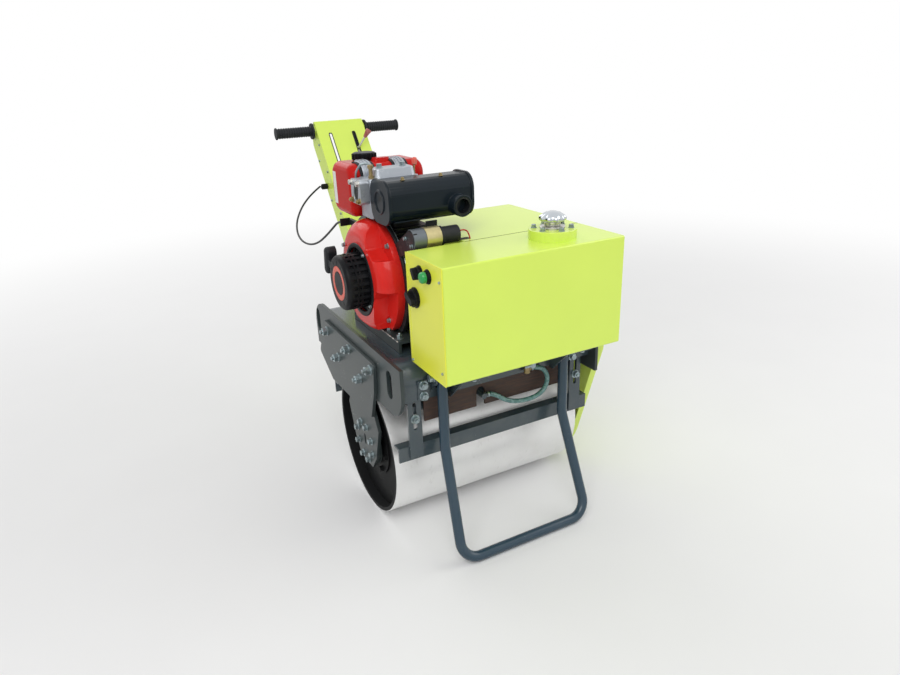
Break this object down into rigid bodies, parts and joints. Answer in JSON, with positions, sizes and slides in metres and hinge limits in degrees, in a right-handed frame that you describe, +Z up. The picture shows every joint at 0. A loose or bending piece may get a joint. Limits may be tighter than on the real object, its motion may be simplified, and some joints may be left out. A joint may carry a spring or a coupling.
{
  "type": "walk-behind vibratory road roller",
  "caption": "Walk-behind single-drum roller with engine, water tank, scrapers, folding front stand and folding T-handle.",
  "frame": {"origin": "on the ground under the middle of the machine's length and width", "axes": "+Z up, -Y towards the front with the water tank, +X to the machine's right seen from the front"},
  "size_m": [0.684, 1.3363, 1.0593],
  "materials": {
    "drum_steel": "rolled steel drum, satin and almost white",
    "drum_black": "black paint inside the drum's ends",
    "chassis_paint": "dark blue-grey gloss enamel",
    "plate_paint": "grey enamel on plates",
    "lime_paint": "bright lime yellow enamel",
    "panel_paint": "yellow enamel",
    "tank_plastic": "bright lime yellow tank shell",
    "red_paint": "glossy red enamel",
    "fuel_red": "glossy red fuel tank shell",
    "engine_black": "black engine enamel",
    "muffler_black": "heat-proof satin black",
    "cast_metal": "bare cast aluminium",
    "zinc": "zinc plated steel",
    "bright_chrome": "polished chrome",
    "black_plastic": "black moulded plastic",
    "black_rubber": "black rubber",
    "brown_strip": "brown scraper rubber",
    "brass_metal": "plain brass",
    "hose_vinyl": "pale green clear hose",
    "cable_black": "black cable sleeve",
    "wire_red": "red wire sleeve",
    "guard_paint": "bright lime yellow enamel"
  },
  "bodies": {
    "machine": {"drum_axle": "plate_paint", "chassis": "chassis_paint", "side_plate_left": "plate_paint", "side_plate_right": "plate_paint", "hanger_plate_left": "plate_paint", "hanger_plate_right": "plate_paint", "bearing_plate_left": "plate_paint", "bearing_plate_right": "plate_paint", "scraper_front": "chassis_paint", "scraper_rear": "chassis_paint", "scraper_strips": "brown_strip", "sprinkler_pipe": "chassis_paint", "stand_brackets": "chassis_paint", "water_tank": "tank_plastic", "control_panel": "panel_paint", "control_switches": "black_plastic", "drive_cover": "tank_plastic", "tank_brackets": "chassis_paint", "filler_flange": "lime_paint", "filler_cap": "bright_chrome", "water_tap": "brass_metal", "drive_guard": "guard_paint", "engine_base": "plate_paint", "engine_block": "engine_black", "cylinder_head": "cast_metal", "back_plate": "engine_black", "blower_housing": "red_paint", "recoil_starter": "black_plastic", "recoil_handle": "black_plastic", "muffler": "muffler_black", "starter_motor": "zinc", "fuel_tank": "fuel_red", "fuel_cap": "black_plastic", "fuel_tank_straps": "zinc", "air_cleaner": "black_plastic", "handle_bracket": "chassis_paint", "water_hose": "hose_vinyl", "throttle_cable": "cable_black", "starter_wire": "wire_red"},
    "drum": {"drum_shell": "drum_steel", "drum_ends": "drum_black"},
    "stand": {"stand": "chassis_paint"},
    "handle": {"handle_column": "lime_paint", "handle_bar": "lime_paint", "grips": "black_rubber", "travel_lever": "zinc"}
  },
  "joints": [
    {"name": "drum_spin", "type": "hinge", "parent": "machine", "child": "drum", "pos_m": [0, -0.2303, 0.2125], "axis": [1, 0, 0], "continuous": true},
    {"name": "stand_fold", "type": "hinge", "parent": "machine", "child": "stand", "pos_m": [0, -0.5203, 0.51], "axis": [-1, 0, 0], "range_deg": [0, 75]},
    {"name": "handle_fold", "type": "hinge", "parent": "machine", "child": "handle", "pos_m": [0, 0.2297, 0.486], "axis": [1, 0, 0], "range_deg": [0, 40]}
  ]
}
